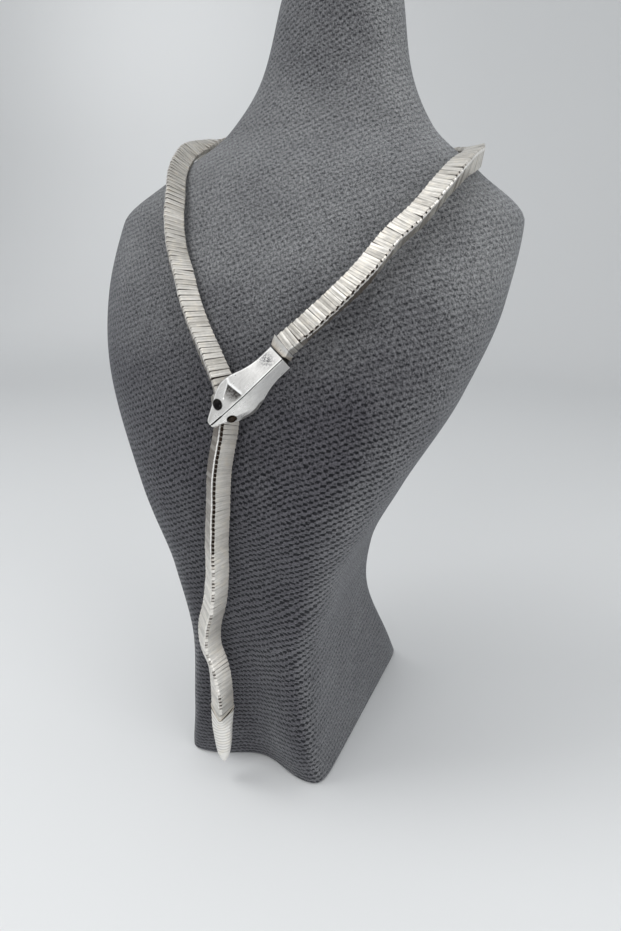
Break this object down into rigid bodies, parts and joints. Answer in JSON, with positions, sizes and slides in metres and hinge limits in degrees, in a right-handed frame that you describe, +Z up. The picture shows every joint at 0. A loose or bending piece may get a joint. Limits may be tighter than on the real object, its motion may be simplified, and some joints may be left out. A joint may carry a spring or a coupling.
{
  "type": "snake necklace on a neck bust",
  "caption": "Silver snake necklace with a triangular link chain, whose flat head rests on the crossing chain above a hanging tail, on a cloth-covered neck bust",
  "frame": {"origin": "on the table, in the flat base face of the neck bust, on the bust's middle plane", "axes": "+Z up the bust, -Y the way the chest faces, +X to the wearer's left, which is the viewer's right"},
  "size_m": [0.1798, 0.1556, 0.345],
  "materials": {
    "bust_cloth": "charcoal velvet with a fine waffle knit",
    "chain_silver": "satin silver with fine cross lines and dark gaps",
    "head_silver": "brushed silver, a little brighter than the chain",
    "eye_black": "polished black"
  },
  "bodies": {
    "root": {"neck_bust": "bust_cloth", "neck_chain": "chain_silver", "tail_chain": "chain_silver", "snake_head": "head_silver", "head_collar": "head_silver", "head_clasp": "chain_silver", "tail_collar": "chain_silver", "tail_tip": "chain_silver", "eye_left": "eye_black", "eye_right": "eye_black"}
  },
  "joints": []
}
